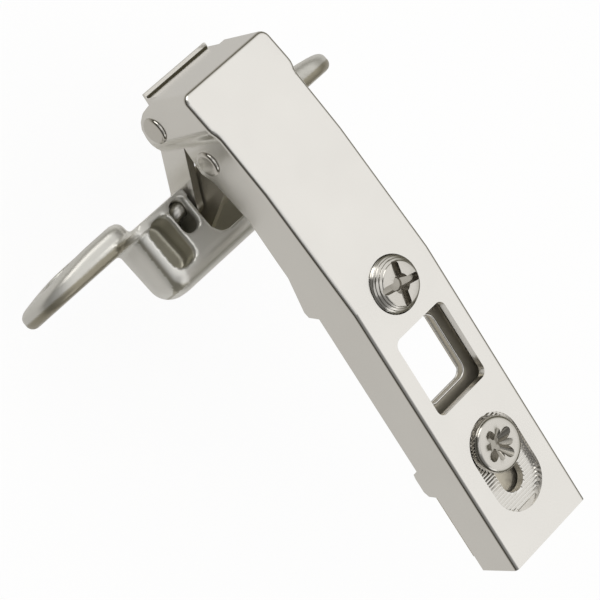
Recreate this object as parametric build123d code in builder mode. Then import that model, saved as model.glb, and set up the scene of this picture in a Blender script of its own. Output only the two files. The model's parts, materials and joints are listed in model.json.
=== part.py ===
from build123d import *
from math import cos, radians, sin
import os

# Blind corner hinge with a 35 mm cup, shown open. All sizes are in mm.
# Frame: the origin is the middle of the adapter's mounting face under the clamp screw,
# +X runs from the nose to the tail, +Z is up through the arm's top.

# Arm
base_height = 10.0
arm_width = 16.0
nose_width = 17.0
sheet = 1.2
bend_r = 0.7
tail_reach = 15.86
nose_reach = 64.4
nose_corner_r = 1.4
nose_bend_r = 1.4
nose_ramp = 7.0
ramp_length = 1.2
ramp_bend = 3.0
top_bend = 60.0
brow_bend = 9.0
flat_reach = 28.0
mid_in = 16.4
mid_drop = 2.6
brow_in = 5.4
nose_drop = 1.6
brow_drop = 5.0
cheek_tail = 7.4
cheek_mid = 8.2
cheek_front = 9.4
cheek_knee = 13.5
front_wall_depth = 16.6
front_tab_depth = 18.1
front_tab_half = 6.3
tab_overlap = 2.5
ledge = 0.5
ledge_out = 0.7
lug_depth = 1.3
lug_front_x = -28.3
lug_rear_x = 0.6
lug_rear_length = 4.6

# Screws
side_screw_x = -27.36
screw_r = 4.0
side_screw_rise = 1.5
side_neck_r = 2.0
slot_width = 1.2
slot_length = 6.7
slot_angle = -14.0
clamp_head = 1.9
clamp_shank_r = 1.9
clamp_rest_x = 0.0
travel = 5.8
recess_depth = 1.0
recess_r = 4.62

# Windows
window_front = -21.17
window_rear = -8.46
window_width = 10.26
window_r = 1.2
inner_window_width = 8.4
inner_window_in = 1.0
inner_window_r = 1.6

# Adapter
adapter_gap = 0.6
adapter_side_gap = 0.3
adapter_front_x = -33.5
adapter_tail_x = 14.6
bridge_length = 10.0
foot_front_x = -24.0
foot_rear_x = -5.0
arch_height = 3.8
shoe_length = 7.0
shoe_height = 1.6
washer_height = 0.7
nut_height = 2.4
nut_side = 9.0

# Linkage, as distances from the clamp screw and below the arm's top
p1_in, p1_drop = 3.9, 16.7
p2_in, p2_drop = 10.4, 10.6
rivet_r = 1.3
front_head_r = 2.0
rear_head_r = 1.9
head_rise = 0.45
link_sheet = 1.2
link_half = 2.4
front_eye = 2.55
outer_plate_in = 5.1
inner_plate_in = 3.6
inner_web_in = 4.3
outer_web_length = 5.0
knuckle = 0.9
front_bush_wall = 0.4
rear_bush_wall = 0.8
front_spacer_wall = 0.65
rear_spacer_wall = 1.1
open_eye_gap = 1.04
open_eye_wall = 1.0

# Cup, in its own plane: across, towards the hinge side, depth into the door
cup_tilt = 17.5
cup_in, cup_drop = 15.92, 24.1
cup_r = 17.3
cup_flat = 2.2
cup_slope = 0.95
cup_depth = 9.9
cup_wall = 1.0
cup_bottom_r = 3.2
c1_up, c1_deep = -0.396, 0.589
c2_up, c2_deep = -4.835, 2.9
pin_r = 1.25
pin_bend_r = 1.3
bearing_in = 6.6
bearing_wall = 0.9
block_edge = 1.5
block_wall = 1.0
recess_length = 2.9
recess_back = -6.3
recess_corner_r = 1.2
pocket_in = 10.9
pocket_edge = 2.4
pocket_back = -2.6
pocket_top = -0.4
pocket_deep = 7.2
pocket_r = 1.6
notch_deep = 7.2
notch_r = 2.5
lip_rise = 1.4
lip_over = 0.5
rim_rise = 1.0
rim_over = 1.4
wing_up = -9.5
hole_spread = 45.0
hole_r = 2.3
wing_r = 7.6
wing_reach = 31.5
wing_rise = 3.9
wing_crown = 1.5
wing_shell = 1.0
wing_root = 13.0
wing_root_up = 1.1
wing_root_r = 9.2
crown_in = 14.6
crown_root_r = 3.0
crown_half = 5.5

# Closing spring
leaf = 0.7
leaf_half = 3.2
spring_in = 4.6
spring_length = 12.5

# Clearances
fit = 0.05
loose = 0.15
axial = 0.1
seat = 0.02

# Heights and derived places
top = base_height
half = arm_width / 2
half_nose = nose_width / 2
inner_half = half - sheet
inner_nose = half_nose - sheet
adapter_half = inner_half - adapter_side_gap
adapter_inner = adapter_half - sheet
recess_under = top - recess_depth - sheet
adapter_top = recess_under - adapter_gap
adapter_under = adapter_top - sheet
brow_reach = nose_reach - brow_in
mid_reach = nose_reach - mid_in
p1 = (p1_in - nose_reach, top - p1_drop)
p2 = (p2_in - nose_reach, top - p2_drop)
cup_plane = Plane(
    origin=(cup_in - nose_reach, 0, top - cup_drop),
    x_dir=(0, 1, 0),
    z_dir=(cos(radians(cup_tilt)), 0, sin(radians(cup_tilt))),
)


def in_row(up, deep):
    """Turn a place in the cup's plane into X and Z of the part."""
    point = cup_plane.from_local_coords(Vector(0, up, deep))
    return point.X, point.Z


c1 = in_row(c1_up, c1_deep)
c2 = in_row(c2_up, c2_deep)

# Side view of the arm: the top line from tail to nose, then the cheek's lower edge back
top_line = [
    (tail_reach, top),
    (-flat_reach, top),
    (-mid_reach, top - mid_drop),
    (-brow_reach, top - brow_drop),
    (-nose_reach, top - brow_drop - nose_drop),
]
lobe = 2.95
nose_line = [(p1[0] + a * lobe, p1[1] + b * lobe) for a, b in (
    (-1.322, 0.64), (-0.983, -0.1), (-0.576, -0.644), (-0.2, -0.93), (0.27, -1.0),
    (0.95, -0.93), (1.32, -0.61), (1.19, 1.05))]
nose_line[0] = (-nose_reach, nose_line[0][1])
cheek_line = nose_line + [
    (p2[0], top - cheek_knee),
    (p2[0] + 1.3, top - cheek_knee + 0.1),
    (p2[0] + 2.9, top - cheek_knee + 1.5),
    (p2[0] + 9.25, top - cheek_front - 0.4),
    (lug_front_x - 9.4, top - cheek_front),
    (lug_front_x - 6.7, top - cheek_front + 0.2),
    (lug_front_x - 1.0, top - cheek_front - lug_depth + 0.2),
    (lug_front_x - 0.1, top - cheek_front - lug_depth + 0.5),
    (lug_front_x + 0.3, top - cheek_mid),
    (lug_rear_x - lug_rear_length / 2, top - cheek_mid),
    (lug_rear_x - lug_rear_length / 2 + 0.5, top - cheek_mid - lug_depth + 0.2),
    (lug_rear_x - lug_rear_length / 2 + 1.3, top - cheek_mid - lug_depth),
    (lug_rear_x + lug_rear_length / 2 - 1.0, top - cheek_mid - lug_depth),
    (lug_rear_x + lug_rear_length / 2 - 0.2, top - cheek_mid - lug_depth + 0.5),
    (lug_rear_x + lug_rear_length / 2, top - cheek_tail),
    (tail_reach, top - cheek_tail),
]


def side_plane(y):
    """A plane for side views: X stays, the second axis is up, and it faces -Y."""
    return Plane(origin=(0, y, 0), x_dir=(1, 0, 0), z_dir=(0, -1, 0))


def plan_points(width, front_width, front, rear):
    """Half the arm's plan, wider at the nose, as points from tail to nose."""
    return [(rear, width), (nose_ramp - nose_reach, width),
            (nose_ramp - ramp_length - nose_reach, front_width), (front, front_width)]


arm_plan = plan_points(half, half_nose, -nose_reach, tail_reach)
void_plan = plan_points(inner_half, inner_nose, -nose_reach + sheet, tail_reach + 1)


def mirrored(points):
    """Close a half plan into a whole outline."""
    return points + [(x, -y) for x, y in reversed(points)]


with BuildPart() as arm:
    with BuildSketch(side_plane(half_nose)) as s:
        with BuildLine():
            Polyline(*(top_line + cheek_line), close=True)
        make_face()
        fillet([v for v in s.vertices() if abs(v.X + nose_reach) < 0.01 and v.Z > top - brow_drop - nose_drop - 1], nose_bend_r)
        for reach, bend in ((flat_reach, top_bend), (mid_reach, top_bend), (brow_reach, brow_bend)):
            fillet([v for v in s.vertices() if abs(v.X + reach) < 0.01 and v.Z > top - brow_drop - 1], bend)
    extrude(amount=nose_width)
    with BuildSketch() as s:
        with BuildLine():
            Polyline(*mirrored(arm_plan), close=True)
        make_face()
        fillet([v for v in s.vertices() if 0 < v.X + nose_reach < nose_ramp + 0.01], ramp_bend)
        fillet([v for v in s.vertices() if abs(v.X + nose_reach) < 0.01], nose_corner_r)
    extrude(amount=top + 1, both=True, mode=Mode.INTERSECT)
    upper = [f for f in arm.faces() if f.normal_at(f.center()).Z > 0.5]
    shared = [e for i, f in enumerate(upper) for e in f.edges()
              if any(e.is_same(g) for h in upper[i + 1:] for g in h.edges())]
    rim = [e for f in upper for e in f.edges() if abs(e.center().X - tail_reach) > 0.01
           and not any(e.is_same(g) for g in shared)]
    fillet(rim, bend_r)
    # The channel under the arm's top, closed by the nose wall
    with BuildSketch(side_plane(half_nose)) as s:
        with BuildLine():
            Polyline(
                (tail_reach + 1, top - sheet), (-flat_reach, top - sheet),
                (-mid_reach + 0.1, top - mid_drop - sheet), (-brow_reach + 0.2, top - brow_drop - sheet),
                (-nose_reach + sheet, top - brow_drop - sheet - 1.9),
                (-nose_reach + sheet, top - front_wall_depth), (-nose_reach - 1, top - front_wall_depth),
                (-nose_reach - 1, top - p1_drop - 6), (tail_reach + 1, top - p1_drop - 6), close=True)
        make_face()
        fillet([v for v in s.vertices() if abs(v.X + nose_reach - sheet) < 0.01 and v.Z > top - 9],
               nose_bend_r - sheet)
    cut_side = extrude(amount=nose_width, mode=Mode.PRIVATE)
    with BuildSketch(Plane.XY.offset(-1)) as s:
        with BuildLine():
            Polyline(*mirrored(void_plan), close=True)
        make_face()
        fillet([v for v in s.vertices() if abs(v.X + nose_reach - sheet) < 0.01], nose_corner_r - sheet)
    cut_plan = extrude(amount=2 * top, both=True, mode=Mode.PRIVATE)
    add(cut_side & cut_plan, mode=Mode.SUBTRACT)
    # The nose wall ends in a straight tab between the cheeks
    with Locations((-nose_reach, 0, top - front_tab_depth)):
        Box(sheet, 2 * front_tab_half, front_tab_depth - front_wall_depth + tab_overlap,
            align=(Align.MIN, Align.CENTER, Align.MIN))
    with Locations((-nose_reach - ledge_out, 0, top - front_tab_depth)):
        Box(sheet + ledge_out, 2 * front_tab_half, ledge, align=(Align.MIN, Align.CENTER, Align.MIN))
    # The drawn recess and slot round the clamp screw
    with BuildSketch(Plane.XY.offset(top - recess_depth - sheet)):
        with Locations((clamp_rest_x + travel / 2 + 0.12, 0)):
            SlotCenterToCenter(travel, 2 * recess_r)
    extrude(amount=sheet + recess_depth / 2)
    with BuildSketch(Plane.XY.offset(top - recess_depth)):
        with Locations((clamp_rest_x + travel / 2 + 0.12, 0)):
            SlotCenterToCenter(travel, 2 * recess_r)
    extrude(amount=recess_depth + 1, mode=Mode.SUBTRACT)
    with BuildSketch(Plane.XY.offset(recess_under - 1)):
        with Locations((clamp_rest_x + travel / 2, 0)):
            SlotCenterToCenter(travel, 2 * (clamp_shank_r + 0.2))
    extrude(amount=sheet + recess_depth + 2, mode=Mode.SUBTRACT)
    # The collar round the side screw and its hole
    with Locations((side_screw_x, 0, top - sheet)):
        Cylinder(screw_r + sheet, recess_depth, align=(Align.CENTER, Align.CENTER, Align.MAX))
    with Locations((side_screw_x, 0, top)):
        Cylinder(screw_r + loose, 2 * (sheet + recess_depth), mode=Mode.SUBTRACT)
    # The window
    with BuildSketch(Plane.XY.offset(top + 1)):
        with Locations(((window_front + window_rear) / 2, 0)):
            RectangleRounded(window_rear - window_front, window_width, window_r)
    extrude(amount=-sheet - 2, mode=Mode.SUBTRACT)
    # Rivet holes through the cheeks
    for x, z in (p1, p2):
        with Locations((x, 0, z)):
            Cylinder(rivet_r + seat, nose_width + 2, rotation=(90, 0, 0), mode=Mode.SUBTRACT)

with BuildPart() as adapter:
    with Locations(((adapter_front_x + adapter_tail_x) / 2, 0, 0)):
        Box(adapter_tail_x - adapter_front_x, 2 * adapter_half, adapter_top,
            align=(Align.CENTER, Align.CENTER, Align.MIN))
    fillet([e for e in adapter.edges().filter_by(Axis.X) if e.center().Z > adapter_top - 0.1], bend_r)
    with Locations(((adapter_front_x + adapter_tail_x) / 2, 0, -1)):
        Box(adapter_tail_x - adapter_front_x + 2, 2 * adapter_inner, adapter_under + 1,
            align=(Align.CENTER, Align.CENTER, Align.MIN), mode=Mode.SUBTRACT)
    with BuildSketch(Plane.XY.offset(adapter_top + 1)):
        with Locations((side_screw_x - travel, 0)):
            SlotCenterToCenter(2 * travel, 2 * (side_neck_r + loose))
        with Locations(((window_front + window_rear) / 2, 0)):
            RectangleRounded(window_rear - window_front - 2 * inner_window_in, inner_window_width,
                             inner_window_r)
        with Locations((clamp_rest_x, 0)):
            Circle(clamp_shank_r + loose)
    extrude(amount=-sheet - 2, mode=Mode.SUBTRACT)
    # Feet turned in under the channel make the mounting face
    for side in (-1, 1):
        for start, end in ((adapter_front_x, foot_front_x), (foot_rear_x, adapter_tail_x)):
            with Locations(((start + end) / 2, side * (adapter_inner - 0.9), 0)):
                Box(end - start, 2.0, sheet, align=(Align.CENTER, Align.CENTER, Align.MIN))
    # The walls arch up between the front and rear feet
    with Locations(((foot_front_x + foot_rear_x) / 2, 0, 0)):
        Box(foot_rear_x - foot_front_x, 2 * adapter_half + 2, arch_height,
            align=(Align.CENTER, Align.CENTER, Align.MIN), mode=Mode.SUBTRACT)
    # The feet meet in a bridge under the clamp screw
    with Locations((clamp_rest_x, 0, 0)):
        Box(bridge_length, 2 * adapter_inner, sheet, align=(Align.CENTER, Align.CENTER, Align.MIN))

with BuildPart() as clamp_nut:
    with Locations((clamp_rest_x, 0, adapter_under - seat)):
        Box(nut_side, 2 * adapter_inner - 0.3, nut_height, align=(Align.CENTER, Align.CENTER, Align.MAX))
        Cylinder(clamp_shank_r + fit, 3 * nut_height, mode=Mode.SUBTRACT)
    chamfer([e for e in clamp_nut.edges().filter_by(Axis.Z) if abs(e.center().Y) > 3], 0.8)

# The head stands clear of the recess floor, so that the arm can tilt under it
head_under = top - recess_depth + 0.3
with BuildPart() as clamp_screw:
    with Locations((clamp_rest_x, 0, head_under)):
        Cylinder(screw_r, clamp_head, align=(Align.CENTER, Align.CENTER, Align.MIN))
    fillet(clamp_screw.faces().sort_by(Axis.Z)[-1].edges(), 0.6)
    with Locations((clamp_rest_x, 0, head_under)):
        Cylinder(clamp_shank_r, head_under - (adapter_under - nut_height) + 1.2,
                 align=(Align.CENTER, Align.CENTER, Align.MAX))
    chamfer(clamp_screw.faces().sort_by(Axis.Z)[0].edges(), 0.4)
    with BuildSketch(Plane.XY.offset(head_under + clamp_head)):
        with Locations((clamp_rest_x, 0)):
            Rectangle(4.6, 1.1, rotation=20)
            Rectangle(4.6, 1.1, rotation=110)
            Rectangle(3.0, 0.6, rotation=65)
            Rectangle(3.0, 0.6, rotation=155)
    extrude(amount=-1.4, mode=Mode.SUBTRACT)

screw_bottom = top - sheet - recess_depth - 0.1
shoe_top = adapter_under - axial
shoe_bottom = shoe_top - shoe_height
with BuildPart() as side_adjust_screw:
    with Locations((side_screw_x, 0, screw_bottom)):
        Cylinder(screw_r, top + side_screw_rise - screw_bottom, align=(Align.CENTER, Align.CENTER, Align.MIN))
    chamfer(side_adjust_screw.faces().sort_by(Axis.Z)[-1].edges(), 0.5)
    with Locations((side_screw_x, 0, screw_bottom)):
        Cylinder(side_neck_r, screw_bottom - shoe_bottom + axial + washer_height,
                 align=(Align.CENTER, Align.CENTER, Align.MAX))
    with BuildSketch(Plane.XY.offset(top + side_screw_rise)):
        with Locations((side_screw_x, 0)):
            SlotOverall(slot_length, slot_width, rotation=slot_angle)
            SlotOverall(slot_length, slot_width, rotation=slot_angle + 90)
            Circle(slot_width * 1.1)
    extrude(amount=-1.3, mode=Mode.SUBTRACT)

with BuildPart() as slide_shoe:
    with Locations((side_screw_x, 0, shoe_bottom)):
        Box(shoe_length, 2 * adapter_inner - 0.3, shoe_height, align=(Align.CENTER, Align.CENTER, Align.MIN))
        Cylinder(side_neck_r + fit, 3 * shoe_height, mode=Mode.SUBTRACT)
    fillet(slide_shoe.edges().filter_by(Axis.Z).group_by(SortBy.LENGTH)[0][:4], 0.8)

with BuildPart() as neck_washer:
    with Locations((side_screw_x, 0, shoe_bottom - axial - washer_height)):
        Cylinder(side_neck_r + 1.0, washer_height, align=(Align.CENTER, Align.CENTER, Align.MIN))
        Cylinder(side_neck_r + seat, 3 * washer_height, mode=Mode.SUBTRACT)


def rivet(place, head_r, outer_half):
    """A riveted pin through both cheeks, with a low head on each side."""
    with BuildPart() as pin:
        with Locations((place[0], 0, place[1])):
            Cylinder(rivet_r, 2 * outer_half + 0.2, rotation=(90, 0, 0))
        for side in (-1, 1):
            with Locations((place[0], side * (outer_half + seat), place[1])):
                Cylinder(head_r, head_rise, rotation=(-90 * side, 0, 0),
                         align=(Align.CENTER, Align.CENTER, Align.MIN))
        ends = [f for f in pin.faces() if abs(abs(f.center().Y) - outer_half - seat - head_rise) < 0.01]
        chamfer([e for f in ends for e in f.edges()], head_rise * 0.6, head_rise * 0.6)
    return pin.part


with BuildPart() as front_rivet:
    add(rivet(p1, front_head_r, half_nose))
with BuildPart() as rear_rivet:
    add(rivet(p2, rear_head_r, half))


def sleeve(place, wall, spans):
    """Tubes on a rivet, one for each pair of distances across."""
    with BuildPart() as tube:
        for start, end in spans:
            with Locations((place[0], (start + end) / 2, place[1])):
                Cylinder(rivet_r + fit + wall, abs(end - start), rotation=(90, 0, 0))
        with Locations((place[0], 0, place[1])):
            Cylinder(rivet_r + fit, nose_width, rotation=(90, 0, 0), mode=Mode.SUBTRACT)
    return tube.part


outer_plate_out = outer_plate_in + link_sheet
inner_plate_out = inner_plate_in + link_sheet
with BuildPart() as front_bush:
    add(sleeve(p1, front_bush_wall, [(-outer_plate_in + axial, outer_plate_in - axial)]))
with BuildPart() as rear_bush:
    add(sleeve(p2, rear_bush_wall, [(-inner_plate_in + axial, inner_plate_in - axial)]))
with BuildPart() as front_spacers:
    add(sleeve(p1, front_spacer_wall, [(s * (outer_plate_out + axial), s * (inner_nose - seat)) for s in (-1, 1)]))
with BuildPart() as rear_spacers:
    add(sleeve(p2, rear_spacer_wall, [(s * (inner_plate_out + axial), s * (inner_half - seat)) for s in (-1, 1)]))


def link_frame(start, end):
    """A side plane at one pivot whose first axis points at the other."""
    along = Vector(end[0] - start[0], 0, end[1] - start[1])
    return Plane(origin=(start[0], 0, start[1]), x_dir=along, z_dir=(0, -1, 0)), along.length


outer_frame, outer_length = link_frame(p1, c1)
inner_frame, inner_length = link_frame(p2, c2)
outer_eye = pin_r + fit + 1.2
open_hole = pin_r + open_eye_gap

with BuildPart() as outer_link:
    for side in (-1, 1):
        start = outer_frame.offset(side * (outer_plate_in + link_sheet / 2))
        with BuildSketch(start) as s:
            Circle(front_eye)
            with Locations((outer_length, 0)):
                Circle(outer_eye)
            with Locations((outer_length / 2, 0)):
                Rectangle(outer_length, 2 * link_half)
            Circle(rivet_r + fit, mode=Mode.SUBTRACT)
            with Locations((outer_length, 0)):
                Circle(pin_r + fit, mode=Mode.SUBTRACT)
        extrude(amount=link_sheet / 2, both=True)
    # The knuckle rolls round the front rivet's bush and runs out into a short web
    with BuildSketch(outer_frame):
        Circle(front_eye)
        with Locations((outer_web_length / 2, -link_half + knuckle / 2)):
            Rectangle(outer_web_length, knuckle)
        Circle(rivet_r + front_bush_wall + 2 * fit, mode=Mode.SUBTRACT)
    extrude(amount=outer_plate_in + 0.2, both=True)

with BuildPart() as inner_link:
    for side in (-1, 1):
        start = inner_frame.offset(side * (inner_plate_in + link_sheet / 2))
        with BuildSketch(start) as s:
            Circle(link_half)
            with BuildLine():
                Polyline((0, link_half), (inner_length, open_hole + open_eye_wall),
                         (inner_length, -open_hole - open_eye_wall), (0, -link_half), close=True)
            make_face()
            with Locations((inner_length, 0)):
                Circle(open_hole + open_eye_wall)
            Circle(rivet_r + fit, mode=Mode.SUBTRACT)
            with Locations((inner_length, 0)):
                Circle(open_hole, mode=Mode.SUBTRACT)
        extrude(amount=link_sheet / 2, both=True)
    with BuildSketch(inner_frame):
        with Locations((inner_length / 2 + 0.3, link_half - link_sheet / 2)):
            Rectangle(inner_length - 2 * inner_web_in, link_sheet)
    extrude(amount=inner_plate_in + 0.2, both=True)

# Leaf spring in the channel: fixed leg under the arm's top, free leg on the follower
spring_front = p2[0] + spring_in
spring_bend_x = spring_front + spring_length
spring_top = top - sheet - 3.9
spring_drop = 3.2
with BuildPart() as closing_spring:
    with BuildSketch(side_plane(leaf_half)):
        with BuildLine() as path:
            FilletPolyline(
                (spring_front + 0.6, spring_top - 0.9), (spring_bend_x, spring_top + 0.4),
                (spring_bend_x + 1.0, spring_top - spring_drop + 0.4),
                (spring_front - 0.4, spring_top - spring_drop - 1.2), radius=1.2)
            offset(amount=leaf / 2, side=Side.BOTH, kind=Kind.ARC)
        make_face()
    extrude(amount=2 * leaf_half)

with BuildPart() as spring_follower:
    with Locations((p2[0] + link_half + 1.0, 0, p2[1] - 0.9)):
        Box(1.4, 2 * (inner_plate_in - loose - 0.2), 3.0)
    fillet(spring_follower.edges().filter_by(Axis.Y), 0.4)

# The cup is made in its own plane: X across, Y towards the hinge side, Z into the door


def hinge_side(inset, start, end):
    """Everything on the well's side of its sloping hinge wall, between two depths."""
    slope = cup_slope / cup_depth
    with BuildPart() as block:
        with BuildSketch(Plane.YZ):
            with BuildLine():
                Polyline((-2 * cup_r, start), (cup_flat - inset - slope * start, start),
                         (cup_flat - inset - slope * end, end), (-2 * cup_r, end), close=True)
            make_face()
        extrude(amount=2 * cup_r, both=True)
    return block.part


lip_half = cup_r - block_edge
block_length = lip_half - bearing_in
pocket_length = cup_r - pocket_edge - pocket_in
mouth = -wing_rise - 1
with BuildPart() as cup_shape:
    # The well with its flat hinge side
    Cylinder(cup_r, cup_depth, align=(Align.CENTER, Align.CENTER, Align.MIN))
    add(hinge_side(0, 0, cup_depth), mode=Mode.INTERSECT)
    sides = [e for e in cup_shape.edges() if 1 < e.center().Z < cup_depth - 1 and abs(e.center().X) > cup_r / 2]
    fillet(sides + cup_shape.faces().sort_by(Axis.Z)[-1].edges(), cup_bottom_r)
    # Rim, hinge side lip and wings
    with BuildSketch() as s:
        Circle(cup_r + rim_over)
        with Locations((0, cup_flat + lip_over)):
            Rectangle(3 * cup_r, 2 * cup_r, align=(Align.CENTER, Align.MIN), mode=Mode.SUBTRACT)
        fillet([v for v in s.vertices()], 2.5)
    extrude(amount=-rim_rise)
    with BuildSketch() as s:
        with Locations((0, cup_flat + lip_over)):
            Rectangle(2 * lip_half, cup_flat + lip_over - recess_back + block_wall, align=(Align.CENTER, Align.MAX))
    extrude(amount=-lip_rise)
    for side in (-1, 1):
        with BuildSketch() as s:
            with Locations((side * (wing_reach - wing_r), wing_up)):
                Circle(wing_r)
            with Locations((side * wing_root, wing_up + wing_root_up)):
                Circle(wing_root_r)
            make_hull()
        extrude(amount=-lip_rise)
        # The domed crown stands on the wing outside the well
        with BuildSketch() as s:
            with Locations((side * (wing_reach - wing_r), wing_up)):
                Circle(wing_r)
            for up in (-crown_half, crown_half):
                with Locations((side * (crown_in + crown_root_r), wing_up + wing_root_up / 2 + up)):
                    Circle(crown_root_r)
            make_hull()
        crown = extrude(amount=-wing_rise, mode=Mode.PRIVATE)
        add(crown.fillet(wing_crown, crown.faces().sort_by(Axis.Z)[0].edges()))
        # The pressed underside
        with BuildSketch(Plane.XY.offset(0.5)) as s:
            with Locations((side * (wing_reach - wing_r), wing_up)):
                Circle(wing_r - wing_shell)
            with Locations((side * (cup_r + wing_shell), wing_up)):
                Rectangle(wing_reach - wing_r - cup_r, 2 * (wing_r - wing_shell),
                          align=(Align.MIN if side > 0 else Align.MAX, Align.CENTER))
            Circle(cup_r + wing_shell, mode=Mode.SUBTRACT)
        extrude(amount=-0.5 - wing_rise + wing_crown + wing_shell, mode=Mode.SUBTRACT)
        with Locations((side * hole_spread / 2, wing_up, -wing_rise)):
            Cylinder(hole_r, 4 * wing_rise, mode=Mode.SUBTRACT)
            Cylinder(hole_r + 1.9, 2 * wing_crown, mode=Mode.SUBTRACT)

# The well's hollow leaves the bearing blocks solid. The pin pockets open on the hinge side
with BuildPart() as cup_void:
    with BuildSketch(Plane.XY.offset(mouth)):
        Circle(cup_r - cup_wall)
        for side in (-1, 1):
            with Locations((side * (bearing_in + block_length / 2), recess_back - block_wall)):
                Rectangle(block_length, 2 * cup_r, align=(Align.CENTER, Align.MIN), mode=Mode.SUBTRACT)
    extrude(amount=cup_depth - cup_wall - mouth)
    add(hinge_side(cup_wall, mouth - 1, cup_depth), mode=Mode.INTERSECT)
    # The links' notch and the pockets are cut towards the hinge side, with rounded bottoms
    with BuildSketch(Plane.XZ.offset(cup_wall + 1 - cup_flat)):
        with Locations((0, notch_deep)):
            RectangleRounded(2 * bearing_in, 2 * (notch_deep - mouth), notch_r, align=(Align.CENTER, Align.MAX))
    extrude(amount=-cup_wall - 4)
    recess_top = c1_deep - pin_r - loose
    recess_deep = c2_deep + pin_r + loose
    with BuildSketch(Plane.XZ.offset(-recess_back)):
        for side in (-1, 1):
            with Locations((side * (bearing_in + bearing_wall + recess_length / 2), (recess_top + recess_deep) / 2)):
                RectangleRounded(recess_length, recess_deep - recess_top, recess_corner_r)
    extrude(amount=recess_back - cup_flat - 3)
    with BuildSketch(Plane.XZ.offset(-pocket_back)):
        for side in (-1, 1):
            with Locations((side * (pocket_in + pocket_length / 2), (pocket_top + pocket_deep) / 2)):
                RectangleRounded(pocket_length, pocket_deep - pocket_top, pocket_r)
    extrude(amount=pocket_back - cup_flat - 3)
    for up, deep in ((c1_up, c1_deep), (c2_up, c2_deep)):
        with Locations((0, up, deep)):
            Cylinder(pin_r + seat, 2 * (bearing_in + bearing_wall + recess_corner_r), rotation=(0, 90, 0))

with BuildPart(cup_plane) as cup:
    add(cup_shape.part - cup_void.part)

pin_out = bearing_in + bearing_wall + pin_r + seat


def cup_pin(side):
    """A bent wire pin: one leg for each link, joined outside the bearing wall."""
    with BuildPart() as pin:
        with BuildLine():
            FilletPolyline(
                (c1[0], side * (outer_plate_in - axial), c1[1]), (c1[0], side * pin_out, c1[1]),
                (c2[0], side * pin_out, c2[1]), (c2[0], side * (inner_plate_in - axial), c2[1]),
                radius=pin_bend_r)
        with BuildSketch(Plane(origin=(c1[0], side * (outer_plate_in - axial), c1[1]), z_dir=(0, side, 0))):
            Circle(pin_r)
        sweep()
    return pin.part


with BuildPart() as near_cup_pin:
    add(cup_pin(-1))
with BuildPart() as far_cup_pin:
    add(cup_pin(1))

os.makedirs("parts", exist_ok=True)
for name, piece in (
    ("arm", arm), ("adapter", adapter), ("clamp_nut", clamp_nut), ("clamp_screw", clamp_screw),
    ("side_adjust_screw", side_adjust_screw), ("slide_shoe", slide_shoe), ("neck_washer", neck_washer),
    ("front_rivet", front_rivet), ("rear_rivet", rear_rivet), ("front_bush", front_bush),
    ("rear_bush", rear_bush), ("front_spacers", front_spacers), ("rear_spacers", rear_spacers),
    ("outer_link", outer_link), ("inner_link", inner_link), ("closing_spring", closing_spring),
    ("spring_follower", spring_follower), ("cup", cup), ("near_cup_pin", near_cup_pin),
    ("far_cup_pin", far_cup_pin),
):
    piece.part.label = name
    export_step(piece.part, f"parts/{name}.step")
    box = piece.part.bounding_box()
    print(name, len(piece.part.solids()), round(piece.part.volume, 1),
          [round(v, 2) for v in (*box.min, *box.max)])
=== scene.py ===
"""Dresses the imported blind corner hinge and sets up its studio."""

import json
import logging
import math
from collections.abc import Callable, Iterable, Sequence
from dataclasses import dataclass, field
from enum import Enum
from typing import Any

import bmesh
import bpy
from mathutils import Matrix, Vector


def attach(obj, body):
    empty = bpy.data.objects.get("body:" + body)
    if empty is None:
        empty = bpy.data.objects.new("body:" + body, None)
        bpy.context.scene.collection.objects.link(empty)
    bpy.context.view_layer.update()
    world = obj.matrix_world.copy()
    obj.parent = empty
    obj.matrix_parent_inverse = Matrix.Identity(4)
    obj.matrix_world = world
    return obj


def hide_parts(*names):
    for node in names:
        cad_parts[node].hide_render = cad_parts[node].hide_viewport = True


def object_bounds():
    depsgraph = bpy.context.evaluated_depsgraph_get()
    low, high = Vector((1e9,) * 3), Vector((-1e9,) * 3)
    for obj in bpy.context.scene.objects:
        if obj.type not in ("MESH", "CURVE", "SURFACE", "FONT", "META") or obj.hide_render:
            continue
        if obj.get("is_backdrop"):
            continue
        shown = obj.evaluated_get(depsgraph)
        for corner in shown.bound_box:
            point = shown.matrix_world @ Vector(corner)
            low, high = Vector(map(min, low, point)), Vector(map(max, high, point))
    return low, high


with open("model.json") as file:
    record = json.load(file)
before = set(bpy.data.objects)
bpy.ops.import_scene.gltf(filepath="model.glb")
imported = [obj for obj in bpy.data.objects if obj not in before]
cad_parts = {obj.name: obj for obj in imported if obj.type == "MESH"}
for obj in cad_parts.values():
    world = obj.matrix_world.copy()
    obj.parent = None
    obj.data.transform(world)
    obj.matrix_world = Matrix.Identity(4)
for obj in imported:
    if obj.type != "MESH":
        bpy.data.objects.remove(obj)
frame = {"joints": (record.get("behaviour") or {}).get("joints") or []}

log = logging.getLogger("hinge")
MM = 0.001
SHARP = 35.0
BROKEN = 40.0

Point = tuple[float, float, float]
Colour = tuple[float, float, float]


class Lay(Enum):
    """Which way a pressed part was brushed or rolled."""

    ALONG = (3.0, 60.0, 60.0)
    ACROSS = (60.0, 3.0, 60.0)
    NONE = (30.0, 30.0, 30.0)


def add_node(tree: bpy.types.NodeTree, kind: str, **inputs: Any) -> bpy.types.Node:
    """Add a shader node and set some of its inputs.

    Args:
        tree: The node tree that gets the node.
        kind: Blender's name for the node type.
        **inputs: Input names, with underscores for spaces, and their values.

    Returns:
        The new node.
    """
    made = tree.nodes.new(kind)
    for name, value in inputs.items():
        made.inputs[name.replace("_", " ")].default_value = value
    return made


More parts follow.
